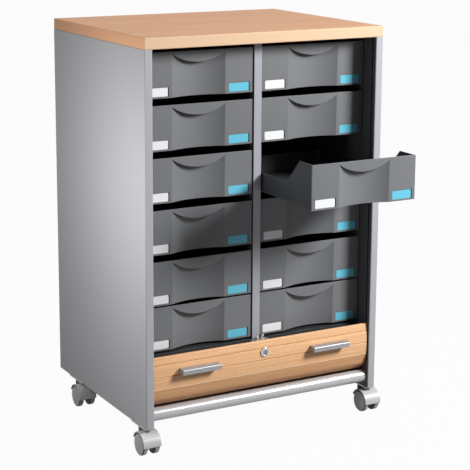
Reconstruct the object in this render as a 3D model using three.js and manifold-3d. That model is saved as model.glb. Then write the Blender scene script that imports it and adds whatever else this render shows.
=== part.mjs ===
// A mobile office cart: a silver board cabinet on four twin-wheel casters, with a beech top, two
// columns of six moulded paper trays and a lockable beech roll shutter. The shutter stands lowered,
// with its slats led round under the trays and up behind them.
// Millimetres, X to the right, Y to the back, Z up, floor at zero. The pieces are set out from
// the middle of the cabinet, and the whole cart is then moved back until the origin lies under
// the middle of everything, the tray that stands open included.

import * as THREE from "three";
import { mergeVertices } from "three/addons/utils/BufferGeometryUtils.js";
import Module from "manifold-3d";

const wasm = await Module();
wasm.setup();

// Cabinet boards
const cabinetWidth = 600;
const cabinetDepth = 486;
const boardThickness = 19;
const topThickness = 25;
const backThickness = 8;
const backRabbet = 10;
const edgeRound = 1.5;
const dividerRecess = 46.3;
const bottomPanelRecess = 50;
const shutterBayHeight = 115;
const innerBackThickness = 3;

// Fits: the running gap between pieces that move, and the overrun of a cutter past its face
const clearance = 0.3;
const overrun = 1;

// Moulded trays
const trayRows = 6;
const openTrayRow = 3;
const openTrayPull = 214.5;
const trayFrontHeight = 99.3;
const trayRowGap = 15.5;
const lastTrayRowGap = 4;
const trayShelfGap = 5.7;
const trayTopGap = 12.5;
const traySideGap = 2;
const traySetback = 3.2;
const trayBackRoom = 20.5;
const trayFrontWall = 3;
const trayWall = 2.5;
const trayBodyGap = 3.75;
const trayUnderside = 3;
const trayWallHeight = 47;
const gussetLength = 55;
const gussetSlope = 50;
const beadHeight = 6;
const scoopWidth = 133;
const scoopDepth = 15;
const scoopRoofFall = 6;
const lipDrop = 4;
const lipSag = 21;
const lipThickness = 2.5;
const cardWidth = 50.4;
const cardHeight = 20;
const cardRise = 3.5;
const cardMargin = 8;
const pocketDepth = 0.8;
const thumbSlotWidth = 2.4;
const thumbSlotDepth = 2;

// Tray racks on the cabinet walls
const rackWall = 1.5;
const rackBackGap = 2;
const rackSetback = 8.5;
const ledgeReach = 13.5;
const ledgeThickness = 3;
const ribThickness = 2;

// Roll shutter: a stiff leading board, and slats on canvas that bend round the tracks
const slatPitch = 27.3;
const slatThickness = 9;
const slatSideGap = 2;
const slatGrooveDepth = 2;
const slatGrooveHalf = 1.5;
const tongueThickness = 4;
const tongueReach = 5.5;
const leadHeight = 72.2;
const leadRecess = 4.5;
const leadBow = 4;
const leadGap = 0.5;
const leadBulgeSlats = 1;
const closingGap = 2;
const bendRadius = 48;
const bendRise = 86;
const rearRunGap = 3;
const trackWall = 1.2;
const trackDepth = 7;
const trackEndRoom = 6;

// Handles
const handleLength = 96;
const handleHeight = 12;
const handleReach = 20;
const handleWall = 2.5;
const handleCheek = 8;
const handleRound = 3;
const handleOffset = 169;
const handleDrop = 35;

// Lock
const lockDrop = 26.2;
const lockBarrelRadius = 9;
const lockFlangeRadius = 11;
const lockFlangeStand = 5;
const lockSpotDepth = 2.5;
const lockBarrelLength = 15;
const lockNutRadius = 13;
const lockNutThickness = 4;
const lockPlugRadius = 6;
const lockTailRadius = 3.5;
const lockPlugSink = 0.6;
const keySlotWidth = 2;
const keySlotHeight = 8;
const keySlotDepth = 4;
const camThickness = 2;
const camLength = 16;
const camWidth = 10;
const caseWall = 1.2;
const caseHalfWidth = 20;
const caseDrop = 16;
const caseTopGap = 2.2;
const clawThickness = 3;
const clawPivotDrop = 12.3;
const clawPivotOffset = 6.5;
const clawBossRadius = 4.5;
const clawPinRadius = 2;
const clawLength = 22;
const clawHookDrop = 5.5;
const clawSpread = 4.5;
const clawNeck = 2;
const strikeThickness = 1.5;
const strikeHalfWidth = 30;
const strikeMargin = 4;
const mortiseDepth = 14;
const mortiseGap = 2;

// Foot tube
const tubeRadius = 15;
const tubeWall = 1.5;
const tubeRecess = 21.5;
const tubeRise = 26.2;
const tubePlugLength = 25;

// Casters
const wheelRadius = 25;
const wheelWidth = 12;
const wheelGap = 17;
const wheelShoulder = 2;
const wheelDome = 2;
const domeShare = 0.75;
const axleRadius = 3;
const axleCover = 3;
const webThickness = 9;
const hoodGap = 1;
const hoodWall = 3.2;
const hoodCrown = 1.6;
const swivelGap = 3.8;
const swivelPlay = 1.5;
const hubRadius = 7;
const bossRadius = 8;
const stemRadius = 4;
const stemFloor = 1.5;
const casterTrail = 25;
const casterPlate = 3;
const casterPlateLength = 72;
const frontCasterInset = 43;
const rearCasterInset = 93;
const hoodFrontAngle = THREE.MathUtils.degToRad(-3);
const hoodRearAngle = THREE.MathUtils.degToRad(158);

// Facets
const bendSteps = 7;
const scoopSteps = 10;
const lipSteps = 10;
const roundSteps = 3;
const roundSides = 24;
const wheelSides = 20;
const hoodSides = 28;
const smallSides = 12;
const crownSteps = 2;

// Levels, worked out from the floor up
const hoodInnerRadius = wheelRadius + hoodGap;
const hoodOuterRadius = hoodInnerRadius + hoodWall;
const plateBottom = wheelRadius + hoodOuterRadius + swivelGap;
const panelBottom = plateBottom + casterPlate;
const bayFloor = panelBottom + boardThickness;
const shelfBottom = bayFloor + shutterBayHeight;
const shelfTop = shelfBottom + boardThickness;
const lowestTray = shelfTop + trayShelfGap;
const trayPitch = trayFrontHeight + trayRowGap;
const lastTrayPitch = trayFrontHeight + lastTrayRowGap;

function trayBottom(row) {
  if (row === trayRows) return lowestTray;
  return lowestTray + lastTrayPitch + (trayRows - 1 - row) * trayPitch;
}

const panelTop = trayBottom(1) + trayFrontHeight + trayTopGap;
const cartTop = panelTop + topThickness;

// Plan places, worked out from the middle of the cabinet
const halfWidth = cabinetWidth / 2;
const frontEdge = -cabinetDepth / 2;
const backEdge = cabinetDepth / 2;
const innerHalfWidth = halfWidth - boardThickness;
const backFace = backEdge - backThickness;
const halfDivider = boardThickness / 2;
const columnWidth = innerHalfWidth - halfDivider;
const columnCentre = halfDivider + columnWidth / 2;
const dividerFront = frontEdge + dividerRecess;
const slatsBack = backFace - rearRunGap - slatThickness;
const innerBackFace = slatsBack - rearRunGap - innerBackThickness;
const trayFront = dividerFront + traySetback;
const trayLength = innerBackFace - trayBackRoom - trayFront;
const openTrayFront = trayFront - openTrayPull;

// Solids from three.js geometries, joined and cut as closed bodies
function solid(geometry) {
  const loose = geometry.index ? geometry.toNonIndexed() : geometry;
  const bare = new THREE.BufferGeometry();
  bare.setAttribute("position", loose.getAttribute("position"));
  const merged = mergeVertices(bare);
  const corners = merged.index.array;
  const at = (i) => new THREE.Vector3().fromBufferAttribute(merged.attributes.position, i);
  const faces = [];
  let volume = 0;
  for (let i = 0; i < corners.length; i += 3) {
    const [a, b, c] = [corners[i], corners[i + 1], corners[i + 2]];
    if (a === b || b === c || c === a) continue;
    faces.push(a, b, c);
    volume += at(a).dot(at(b).cross(at(c)));
  }
  if (volume < 0) faces.reverse();
  const mesh = new wasm.Mesh({
    numProp: 3,
    vertProperties: new Float32Array(merged.attributes.position.array),
    triVerts: new Uint32Array(faces),
  });
  return new wasm.Manifold(mesh);
}

// A block between two corners, given as a low and a high value for each direction
function block([x0, x1], [y0, y1], [z0, z1]) {
  const box = new THREE.BoxGeometry(x1 - x0, y1 - y0, z1 - z0);
  box.translate((x0 + x1) / 2, (y0 + y1) / 2, (z0 + z1) / 2);
  return solid(box);
}

// An outline pushed along one axis. Its points are pairs in the other two directions.
const along = {
  x: new THREE.Matrix4().makeBasis(
    new THREE.Vector3(0, 1, 0), new THREE.Vector3(0, 0, 1), new THREE.Vector3(1, 0, 0)),
  y: new THREE.Matrix4().makeBasis(
    new THREE.Vector3(0, 0, 1), new THREE.Vector3(1, 0, 0), new THREE.Vector3(0, 1, 0)),
  z: new THREE.Matrix4(),
};

function prism(axis, points, low, high) {
  const flat = points.map(([a, b]) => (axis === "y" ? new THREE.Vector2(b, a) : new THREE.Vector2(a, b)));
  const pushed = new THREE.ExtrudeGeometry(new THREE.Shape(flat), {
    depth: high - low,
    bevelEnabled: false,
  });
  pushed.translate(0, 0, low);
  pushed.applyMatrix4(along[axis]);
  return solid(pushed);
}

// Points of an arc round a centre, from one angle to another, ends included
function arc([a, b], radius, from, to, steps) {
  return Array.from({ length: steps + 1 }, (_, i) => {
    const angle = from + ((to - from) * i) / steps;
    return [a + radius * Math.cos(angle), b + radius * Math.sin(angle)];
  });
}

function circle(centre, radius, sides = roundSides) {
  return arc(centre, radius, 0, 2 * Math.PI, sides).slice(0, sides);
}

// A rectangle with its four corners rounded
function roundedRectangle([a0, a1], [b0, b1], radius) {
  const quarter = Math.PI / 2;
  return [
    ...arc([a1 - radius, b1 - radius], radius, 0, quarter, roundSteps),
    ...arc([a0 + radius, b1 - radius], radius, quarter, 2 * quarter, roundSteps),
    ...arc([a0 + radius, b0 + radius], radius, 2 * quarter, 3 * quarter, roundSteps),
    ...arc([a1 - radius, b0 + radius], radius, 3 * quarter, 4 * quarter, roundSteps),
  ];
}

// A profile of radius and place along X, turned about the X axis
function turned(profile, sides) {
  const lathe = new THREE.LatheGeometry(profile.map(([r, x]) => new THREE.Vector2(r, x)), sides);
  lathe.rotateZ(-Math.PI / 2);
  return solid(lathe);
}

// Each piece is one named mesh with a material of its own
function piece(name, body, finish) {
  const made = body.getMesh();
  const geometry = new THREE.BufferGeometry();
  geometry.setAttribute("position", new THREE.BufferAttribute(new Float32Array(made.vertProperties), 3));
  geometry.setIndex(new THREE.BufferAttribute(new Uint32Array(made.triVerts), 1));
  geometry.computeVertexNormals();
  const mesh = new THREE.Mesh(geometry, new THREE.MeshStandardMaterial(finish));
  mesh.name = name;
  return mesh;
}

const silverBoard = { color: 0xa9aaad, roughness: 0.55, metalness: 0.1 };
const beech = { color: 0xdba878, roughness: 0.5, metalness: 0 };
const trayPlastic = { color: 0x6f7173, roughness: 0.5, metalness: 0 };
const blackPlastic = { color: 0x222326, roughness: 0.6, metalness: 0 };
const brightTube = { color: 0xdcdde0, roughness: 0.25, metalness: 0.9 };
const satinMetal = { color: 0xc4c6c9, roughness: 0.35, metalness: 0.8 };
const zincSteel = { color: 0xb4b6b8, roughness: 0.4, metalness: 0.9 };
const chrome = { color: 0xd8dadc, roughness: 0.12, metalness: 1 };
const casterGrey = { color: 0xb6b7b9, roughness: 0.45, metalness: 0.05 };
const wheelGrey = { color: 0x9a9b9d, roughness: 0.5, metalness: 0 };

const cart = new THREE.Group();

// Shutter path: down the front, round a bend, back under the trays, round another bend and up.
// Lengths along it run from the end of the leading board, on the slats' outer faces.
const leadBottom = panelBottom + bendRise;
const leadTop = leadBottom + leadHeight;
const bulgeLevel = leadBottom + leadBulgeSlats * slatPitch;
const bulgeFace = frontEdge + leadRecess;

function bowedFace(level) {
  const away = (level - bulgeLevel) / (leadTop - bulgeLevel);
  return bulgeFace + leadBow * away * away;
}

const slatFace = bowedFace(leadBottom);
const frontBend = slatFace + bendRadius;
const rearBend = slatsBack + slatThickness - bendRadius;
const quarterBend = (Math.PI / 2) * bendRadius;
const rearRise = quarterBend + (rearBend - frontBend) + quarterBend;
const shutterTravel = panelTop - closingGap - leadTop;
const slatCount = Math.ceil(shutterTravel / slatPitch);

// The point at a length along the path, at a distance from the bends' centres
function onPath(length, radius) {
  if (length < quarterBend) {
    const turn = length / bendRadius;
    return [frontBend - radius * Math.cos(turn), leadBottom - radius * Math.sin(turn)];
  }
  if (length < rearRise - quarterBend) return [frontBend + length - quarterBend, leadBottom - radius];
  if (length < rearRise) {
    const turn = (rearRise - length) / bendRadius;
    return [rearBend + radius * Math.cos(turn), leadBottom - radius * Math.sin(turn)];
  }
  return [rearBend + radius, leadBottom + length - rearRise];
}

// Tracks: a plastic channel let into a groove in each side panel, along the whole path. It is
// wide enough for the flat tongues of the slats to go round the bends.
const slatInner = bendRadius - slatThickness;
const tongueOuter = slatInner + tongueThickness;
const halfSlatTurn = slatPitch / bendRadius / 2;
const trackInner = slatInner * Math.cos(halfSlatTurn) - clearance;
const trackOuter = tongueOuter + clearance;
const trackEnd = leadBottom + slatCount * slatPitch - rearRise + trackEndRoom;

function trackBand(near, far, end) {
  const half = Math.PI / 2;
  return [
    [frontBend - far, panelTop],
    ...arc([frontBend, leadBottom], far, 2 * half, 3 * half, bendSteps),
    ...arc([rearBend, leadBottom], far, 3 * half, 4 * half, bendSteps),
    [rearBend + far, end],
    [rearBend + near, end],
    ...arc([rearBend, leadBottom], near, 4 * half, 3 * half, bendSteps),
    ...arc([frontBend, leadBottom], near, 3 * half, 2 * half, bendSteps),
    [frontBend - near, panelTop],
  ];
}

// The low and the high X between two distances from the middle, on one side of it
function onSide(side, near, far) {
  return side < 0 ? [-far, -near] : [near, far];
}

function trackGroove(side) {
  const near = trackInner - trackWall - clearance;
  const far = trackOuter + trackWall + clearance;
  const outline = trackBand(near, far, trackEnd + trackWall + clearance);
  outline[0][1] += overrun;
  outline[outline.length - 1][1] += overrun;
  const outerFace = innerHalfWidth + trackDepth + trackWall;
  return prism("x", outline, ...onSide(side, innerHalfWidth - overrun, outerFace));
}

function shutterTrack(side) {
  const outside = trackBand(trackInner - trackWall, trackOuter + trackWall, trackEnd + trackWall);
  const inside = trackBand(trackInner, trackOuter, trackEnd);
  inside[0][1] += overrun;
  inside[inside.length - 1][1] += overrun;
  const floor = innerHalfWidth + trackDepth;
  return prism("x", outside, ...onSide(side, innerHalfWidth, floor + trackWall - clearance))
    .subtract(prism("x", inside, ...onSide(side, innerHalfWidth - overrun, floor - clearance)));
}

// Cabinet: the side panels carry the back in a rabbet, and the top lies on all three
function sidePanel(side) {
  const outer = side * halfWidth;
  const inner = side * innerHalfWidth;
  const rabbet = side * (innerHalfWidth + backRabbet);
  const outline = [
    [outer, frontEdge + edgeRound],
    [outer - side * edgeRound, frontEdge],
    [inner + side * edgeRound, frontEdge],
    [inner, frontEdge + edgeRound],
    [inner, backFace],
    [rabbet, backFace],
    [rabbet, backEdge],
    [outer, backEdge],
  ];
  return prism("z", outline, panelBottom, panelTop).subtract(trackGroove(side));
}

// Lock places: the plug's level, and the layers from the board's face to the back of the claws
const lockLevel = leadTop - lockDrop;
const lockSeat = bulgeFace + lockSpotDepth;
const lockFace = lockSeat - lockFlangeStand;
const lockEnd = lockSeat + lockBarrelLength;
const camFront = lockEnd + clearance;
const camBack = camFront + camThickness;
const clawFront = camBack + clearance;
const clawBack = clawFront + 2 * clawThickness + clearance;

function lockBar(radius, low, high, sides = roundSides) {
  return prism("y", circle([0, lockLevel], radius, sides), low, high);
}

// The top has a mortise behind its strike plate, where the claws of the lock hook in
const mortiseFront = clawFront - mortiseGap;
const mortiseBack = clawBack + mortiseGap;
const mortiseHalf = clawPivotOffset + clawSpread + mortiseGap;

function topPanel() {
  const across = roundedRectangle([-halfWidth, halfWidth], [panelTop, cartTop], edgeRound);
  const fore = roundedRectangle([frontEdge, backEdge], [panelTop, cartTop], edgeRound);
  const pushedBack = prism("y", across, frontEdge, backEdge);
  return pushedBack.intersect(prism("x", fore, -halfWidth, halfWidth)).subtract(block(
    [-mortiseHalf, mortiseHalf],
    [mortiseFront, mortiseBack],
    [panelTop - overrun, panelTop + mortiseDepth],
  ));
}

function backPanel() {
  const reach = innerHalfWidth + backRabbet - clearance;
  return block([-reach, reach], [backFace, backEdge], [panelBottom, panelTop]);
}

function shutterStrike() {
  const plate = block(
    [-strikeHalfWidth, strikeHalfWidth],
    [mortiseFront - strikeMargin, mortiseBack + strikeMargin],
    [panelTop - strikeThickness, panelTop],
  );
  return plate.subtract(block(
    [-mortiseHalf, mortiseHalf],
    [mortiseFront, mortiseBack],
    [panelTop - strikeThickness - overrun, panelTop + overrun],
  ));
}

const innerBack = innerBackFace + innerBackThickness;
cart.add(piece("top_panel", topPanel(), beech));
cart.add(piece("side_panel_left", sidePanel(-1), silverBoard));
cart.add(piece("side_panel_right", sidePanel(1), silverBoard));
cart.add(piece("back_panel", backPanel(), silverBoard));
cart.add(piece(
  "inner_back",
  block([-innerHalfWidth, innerHalfWidth], [innerBackFace, innerBack], [shelfTop, panelTop]),
  blackPlastic,
));
cart.add(piece(
  "divider",
  block([-halfDivider, halfDivider], [dividerFront, innerBackFace], [shelfTop, panelTop]),
  silverBoard,
));
cart.add(piece(
  "tray_shelf",
  block([-innerHalfWidth, innerHalfWidth], [dividerFront, innerBack], [shelfBottom, shelfTop]),
  silverBoard,
));
cart.add(piece(
  "bottom_panel",
  block(
    [-innerHalfWidth, innerHalfWidth],
    [frontEdge + bottomPanelRecess, backFace],
    [panelBottom, bayFloor],
  ),
  silverBoard,
));
cart.add(piece("shutter_track_left", shutterTrack(-1), blackPlastic));
cart.add(piece("shutter_track_right", shutterTrack(1), blackPlastic));
cart.add(piece("shutter_strike", shutterStrike(), zincSteel));

// Foot tube: a bright tube between the side panels, on a plug screwed to each of them
const tubeCentre = [frontEdge + tubeRecess, panelBottom + tubeRise];
const tubeBore = tubeRadius - tubeWall;

function footTube() {
  const outside = prism("x", circle(tubeCentre, tubeRadius), -innerHalfWidth, innerHalfWidth);
  const reach = innerHalfWidth + overrun;
  return outside.subtract(prism("x", circle(tubeCentre, tubeBore), -reach, reach));
}

function tubePlug(side) {
  const ends = [side * innerHalfWidth, side * (innerHalfWidth - tubePlugLength)];
  return prism("x", circle(tubeCentre, tubeBore - clearance), Math.min(...ends), Math.max(...ends));
}

cart.add(piece("foot_tube", footTube(), brightTube));
cart.add(piece("tube_plug_left", tubePlug(-1), blackPlastic));
cart.add(piece("tube_plug_right", tubePlug(1), blackPlastic));

// Tray racks: a moulded comb on each wall of a column. Each tray's bead runs on a ledge and
// under a rib, which keeps the tray level when it is pulled out.
const trayHalfBody = columnWidth / 2 - trayBodyGap;
const trayHalfFront = columnWidth / 2 - traySideGap;
const beadTop = trayUnderside + beadHeight;
const ribReach = columnWidth / 2 - trayHalfBody - clearance;

function rack(wall, inward) {
  const at = (reach) => wall + inward * reach;
  const outline = [[at(0), shelfTop], [at(rackWall), shelfTop]];
  for (let row = trayRows; row >= 1; row -= 1) {
    const ledgeTop = trayBottom(row) + trayUnderside - clearance;
    const ribBottom = trayBottom(row) + beadTop + clearance;
    outline.push(
      [at(rackWall), ledgeTop - ledgeThickness],
      [at(ledgeReach), ledgeTop - ledgeThickness],
      [at(ledgeReach), ledgeTop],
      [at(rackWall), ledgeTop],
      [at(rackWall), ribBottom],
      [at(ribReach), ribBottom],
      [at(ribReach), ribBottom + ribThickness],
      [at(rackWall), ribBottom + ribThickness],
    );
  }
  const top = trayBottom(1) + trayFrontHeight;
  outline.push([at(rackWall), top], [at(0), top]);
  return prism("y", outline, trayFront + rackSetback, innerBackFace - rackBackGap);
}

cart.add(piece("rack_left_outer", rack(-innerHalfWidth, 1), blackPlastic));
cart.add(piece("rack_left_inner", rack(-halfDivider, -1), blackPlastic));
cart.add(piece("rack_right_inner", rack(halfDivider, 1), blackPlastic));
cart.add(piece("rack_right_outer", rack(innerHalfWidth, -1), blackPlastic));

// Moulded tray, set out from the middle of its front's lower edge. The front has a finger
// scoop: a hollow with a curved back and no floor, and a smile-shaped lip that hangs over it.
function scoopOutline(depth, halfChord) {
  const radius = (halfChord * halfChord + depth * depth) / (2 * depth);
  const half = Math.asin(halfChord / radius);
  const middle = Math.PI / 2;
  const curve = arc([0, depth - radius], radius, middle - half, middle + half, scoopSteps);
  return [[halfChord, 0], ...curve.slice(1, -1), [-halfChord, 0]];
}

function lipPlate() {
  const halfChord = scoopWidth / 2;
  const radius = (halfChord * halfChord + lipSag * lipSag) / (2 * lipSag);
  const half = Math.asin(halfChord / radius);
  const ends = trayFrontHeight - lipDrop;
  const middle = -Math.PI / 2;
  const smile = arc([0, ends - lipSag + radius], radius, middle - half, middle + half, lipSteps);
  const reach = halfChord + overrun;
  const outline = [
    [-reach, trayFrontHeight + overrun],
    [-reach, ends],
    ...smile,
    [reach, ends],
    [reach, trayFrontHeight + overrun],
  ];
  return prism("y", outline, -2 * overrun, lipThickness);
}

// What lies above the scoop's roof, which falls from the front's upper edge towards the back
function aboveRoof(drop) {
  const top = trayFrontHeight - drop;
  const back = scoopDepth + 2 * trayWall;
  const past = trayFrontHeight + overrun;
  const reach = scoopWidth / 2 + 2 * trayWall;
  const roof = [[0, top], [back, top - scoopRoofFall]];
  return prism("x", [...roof, [back, past], [0, past]], -reach, reach);
}

function cardPocket(low) {
  const rise = [cardRise, cardRise + cardHeight];
  const high = low + cardWidth;
  const pocket = block([low, high], [-overrun, pocketDepth], rise);
  return pocket.add(block([high, high + thumbSlotWidth], [-overrun, thumbSlotDepth], rise));
}

function traySolid() {
  const sideProfile = [
    [0, trayUnderside],
    [trayLength, trayUnderside],
    [trayLength, trayWallHeight],
    [gussetLength + gussetSlope, trayWallHeight],
    [gussetLength, trayFrontHeight],
    [0, trayFrontHeight],
  ];
  const innerHalf = trayHalfBody - trayWall;
  const cavity = block(
    [-innerHalf, innerHalf],
    [trayFrontWall, trayLength - trayWall],
    [trayUnderside + trayWall, trayFrontHeight + overrun],
  );
  const front = block([-trayHalfFront, trayHalfFront], [0, trayFrontWall], [0, trayFrontHeight]);
  const bowl = scoopOutline(scoopDepth + trayWall, scoopWidth / 2 + trayWall);
  const shell = prism("z", bowl, 0, trayFrontHeight).subtract(aboveRoof(0));
  const bead = block([-trayHalfFront, trayHalfFront], [rackSetback, trayLength], [trayUnderside, beadTop]);
  const beads = bead.subtract(
    block([-innerHalf, innerHalf], [0, trayLength + overrun], [0, beadTop + overrun]),
  );
  const mouth = [[-scoopWidth / 2, -overrun], [scoopWidth / 2, -overrun]];
  const hollowOutline = [...mouth, ...scoopOutline(scoopDepth, scoopWidth / 2)];
  const hollow = prism("z", hollowOutline, -overrun, trayFrontHeight - trayWall)
    .subtract(aboveRoof(trayWall));
  const slotEnd = trayHalfFront - cardMargin;
  return prism("x", sideProfile, -trayHalfBody, trayHalfBody)
    .subtract(cavity)
    .add(front)
    .add(shell)
    .add(beads)
    .subtract(hollow.subtract(lipPlate()))
    .subtract(cardPocket(-slotEnd))
    .subtract(cardPocket(slotEnd - thumbSlotWidth - cardWidth));
}

const tray = traySolid();
for (const [column, side] of [["left", -1], ["right", 1]]) {
  for (let row = 1; row <= trayRows; row += 1) {
    const made = piece(`tray_${column}_${row}`, tray, trayPlastic);
    const open = side === 1 && row === openTrayRow;
    made.position.set(side * columnCentre, open ? openTrayFront : trayFront, trayBottom(row));
    cart.add(made);
  }
}

// Shutter slats: flat strips with bevelled joints on one canvas, their rebated ends in the tracks
const slatHalf = innerHalfWidth - slatSideGap;
const tongueHalf = innerHalfWidth + tongueReach;

function shutterCurtain() {
  const end = slatCount * slatPitch;
  const face = [onPath(leadGap, bendRadius)];
  const canvas = [];
  for (let i = 0; i < slatCount; i += 1) {
    const joint = (i + 1) * slatPitch;
    face.push(onPath(joint - slatGrooveHalf, bendRadius));
    if (i < slatCount - 1) {
      face.push(onPath(joint, bendRadius - slatGrooveDepth), onPath(joint + slatGrooveHalf, bendRadius));
    }
    canvas.push(joint);
  }
  const lengths = [end, ...canvas.slice(0, -1).reverse(), leadGap];
  const back = lengths.map((length) => onPath(length, slatInner));
  const tongue = [...lengths].reverse().map((length) => onPath(length, tongueOuter));
  return prism("x", [...face, ...back], -slatHalf, slatHalf)
    .add(prism("x", [...tongue, ...back], -tongueHalf, tongueHalf));
}

// Leading board: stiff and slightly bowed, with the slats' joints carried on as sight grooves.
// It stands clear of the lowest trays, and its tongues run straight up the tracks.
const leadBack = frontBend - slatInner;

function shutterLead() {
  const outline = [[leadBack, leadBottom]];
  let start = leadBottom;
  outline.push([bowedFace(start), start]);
  for (let joint = start + slatPitch; joint < leadTop - slatGrooveHalf; joint += slatPitch) {
    outline.push(
      [bowedFace((start + joint) / 2), (start + joint) / 2],
      [bowedFace(joint - slatGrooveHalf), joint - slatGrooveHalf],
      [bowedFace(joint) + slatGrooveDepth, joint],
      [bowedFace(joint + slatGrooveHalf), joint + slatGrooveHalf],
    );
    start = joint;
  }
  outline.push(
    [bowedFace(leadTop - edgeRound), leadTop - edgeRound],
    [bowedFace(leadTop) + edgeRound, leadTop],
    [leadBack, leadTop],
  );
  const tongueY = [leadBack - tongueThickness, leadBack];
  const tongue = block([-tongueHalf, tongueHalf], tongueY, [leadBottom, leadTop]);
  return prism("x", outline, -slatHalf, slatHalf)
    .add(tongue)
    .subtract(lockBar(lockBarrelRadius + clearance, frontEdge, leadBack + overrun))
    .subtract(lockBar(lockFlangeRadius + clearance, frontEdge, lockSeat));
}

cart.add(piece("shutter_curtain", shutterCurtain(), beech));
cart.add(piece("shutter_lead", shutterLead(), beech));

// Handles: a shell with a flat top and a front lip, gripped from below, its ends screwed on
function handle(side) {
  const middle = side * handleOffset;
  const top = leadTop - handleDrop + handleHeight / 2;
  const bottom = top - handleHeight;
  const front = bulgeFace - handleReach;
  const outline = [
    [bulgeFace, top],
    ...arc([front + handleRound, top - handleRound], handleRound, Math.PI / 2, Math.PI, roundSteps),
    [front, bottom],
    [bulgeFace, bottom],
  ];
  const half = handleLength / 2;
  const grip = half - handleCheek;
  return prism("x", outline, middle - half, middle + half).subtract(block(
    [middle - grip, middle + grip],
    [front + handleWall, bulgeFace + overrun],
    [bottom - overrun, top - handleWall],
  ));
}

cart.add(piece("handle_left", handle(-1), satinMetal));
cart.add(piece("handle_right", handle(1), satinMetal));

// Lock: a flanged barrel held by a nut, a plug that turns in it with a cam on its tail, and a case
// behind the board with two claws. The claws stand out at the top when the key has been turned,
// and hook outwards behind the strike plate. The cam folds them inwards into the case.
function lockHousing() {
  return lockBar(lockBarrelRadius, lockSeat - overrun, lockEnd)
    .add(lockBar(lockFlangeRadius, lockFace, lockSeat))
    .subtract(lockBar(lockPlugRadius + clearance, lockFace - overrun, lockEnd + overrun));
}

function lockPlug() {
  const face = lockFace + lockPlugSink;
  const halfSlot = keySlotWidth / 2;
  const keySlot = block(
    [-halfSlot, halfSlot],
    [face - overrun, face + keySlotDepth],
    [lockLevel - keySlotHeight / 2, lockLevel + keySlotHeight / 2],
  );
  return lockBar(lockPlugRadius, face, lockEnd)
    .add(lockBar(lockTailRadius, lockEnd - overrun, camBack, smallSides))
    .subtract(keySlot);
}

function lockCam() {
  const half = camWidth / 2;
  const arm = block([-camLength, 0], [camFront, camBack], [lockLevel - half, lockLevel + half]);
  return arm
    .add(lockBar(half, camFront, camBack, smallSides))
    .subtract(lockBar(lockTailRadius + clearance, camFront - overrun, camBack + overrun, smallSides));
}

function lockNut() {
  const nutBack = leadBack + lockNutThickness;
  return lockBar(lockNutRadius, leadBack, nutBack)
    .subtract(lockBar(lockBarrelRadius + clearance, leadBack - overrun, nutBack + overrun));
}

const clawPivot = leadTop - clawPivotDrop;
const caseBack = clawBack + clearance + caseWall;

function lockCase() {
  const inner = caseHalfWidth - caseWall;
  const bottom = lockLevel - caseDrop;
  const top = leadTop - caseTopGap;
  const shell = block([-caseHalfWidth, caseHalfWidth], [leadBack, caseBack], [bottom, top]).subtract(block(
    [-inner, inner],
    [leadBack - overrun, caseBack - caseWall],
    [bottom + caseWall, top + overrun],
  ));
  const pin = (side) => prism(
    "y",
    circle([side * clawPivotOffset, clawPivot], clawPinRadius, smallSides),
    clawFront,
    caseBack - caseWall / 2,
  );
  return shell.add(pin(-1)).add(pin(1));
}

function claw(side) {
  const pivot = [side * clawPivotOffset, clawPivot];
  const front = side < 0 ? clawFront : clawFront + clawThickness + clearance;
  const at = (x, z) => [pivot[0] + side * x, pivot[1] + z];
  const outline = [
    at(-clawBossRadius, 0),
    at(clawBossRadius, 0),
    at(clawNeck, clawLength - clawHookDrop),
    at(clawSpread, clawLength - clawHookDrop),
    at(clawSpread, clawLength - clawNeck),
    at(clawNeck, clawLength),
    at(-clawNeck, clawLength - clawHookDrop),
  ];
  const back = front + clawThickness;
  const pinHole = circle(pivot, clawPinRadius + clearance, smallSides);
  return prism("y", outline, front, back)
    .add(prism("y", circle(pivot, clawBossRadius, smallSides), front, back))
    .subtract(prism("y", pinHole, front - overrun, back + overrun));
}

cart.add(piece("lock_housing", lockHousing(), chrome));
cart.add(piece("lock_nut", lockNut(), zincSteel));
cart.add(piece("lock_plug", lockPlug(), chrome));
cart.add(piece("lock_cam", lockCam(), zincSteel));
cart.add(piece("lock_case", lockCase(), zincSteel));
cart.add(piece("lock_claw_left", claw(-1), zincSteel));
cart.add(piece("lock_claw_right", claw(1), zincSteel));

// Casters, set out from the swivel axis at the floor. The wheels trail to the front, and the
// hood covers them from above and in front.
function casterMount() {
  const half = casterPlateLength / 2;
  const plate = block([-boardThickness / 2, boardThickness / 2], [-half, half], [plateBottom, panelBottom]);
  const stemEnd = bossBottom + stemFloor + clearance;
  const stem = prism("z", circle([0, 0], stemRadius, smallSides), stemEnd, plateBottom + overrun);
  return plate.add(stem);
}

const axle = [-casterTrail, wheelRadius];
const bossTop = plateBottom - swivelPlay;
const bossNear = Math.max(0, casterTrail - bossRadius);
const bossBottom = wheelRadius + Math.sqrt(Math.max(0, hoodInnerRadius ** 2 - bossNear ** 2));
const casterHalf = wheelGap / 2 + wheelWidth;

// Angles here run from the front, over the top, to the back
function round(angle, radius) {
  return [axle[0] - radius * Math.cos(angle), axle[1] + radius * Math.sin(angle)];
}

function sector(radius) {
  const steps = hoodSides / 2;
  const rim = Array.from({ length: steps + 1 }, (_, i) =>
    round(hoodFrontAngle + ((hoodRearAngle - hoodFrontAngle) * i) / steps, radius));
  return [axle, ...rim];
}

function hoodShell() {
  const crown = Array.from({ length: crownSteps + 1 }, (_, i) => {
    const across = (2 * i) / crownSteps - 1;
    return [hoodOuterRadius - hoodCrown * across * across, across * casterHalf];
  });
  const start = [hoodInnerRadius, -casterHalf];
  const ring = [start, ...crown, [hoodInnerRadius, casterHalf], start];
  const cut = prism("x", sector(2 * hoodOuterRadius), -casterHalf - overrun, casterHalf + overrun);
  return turned(ring, hoodSides).translate([0, axle[0], axle[1]]).intersect(cut);
}

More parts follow.
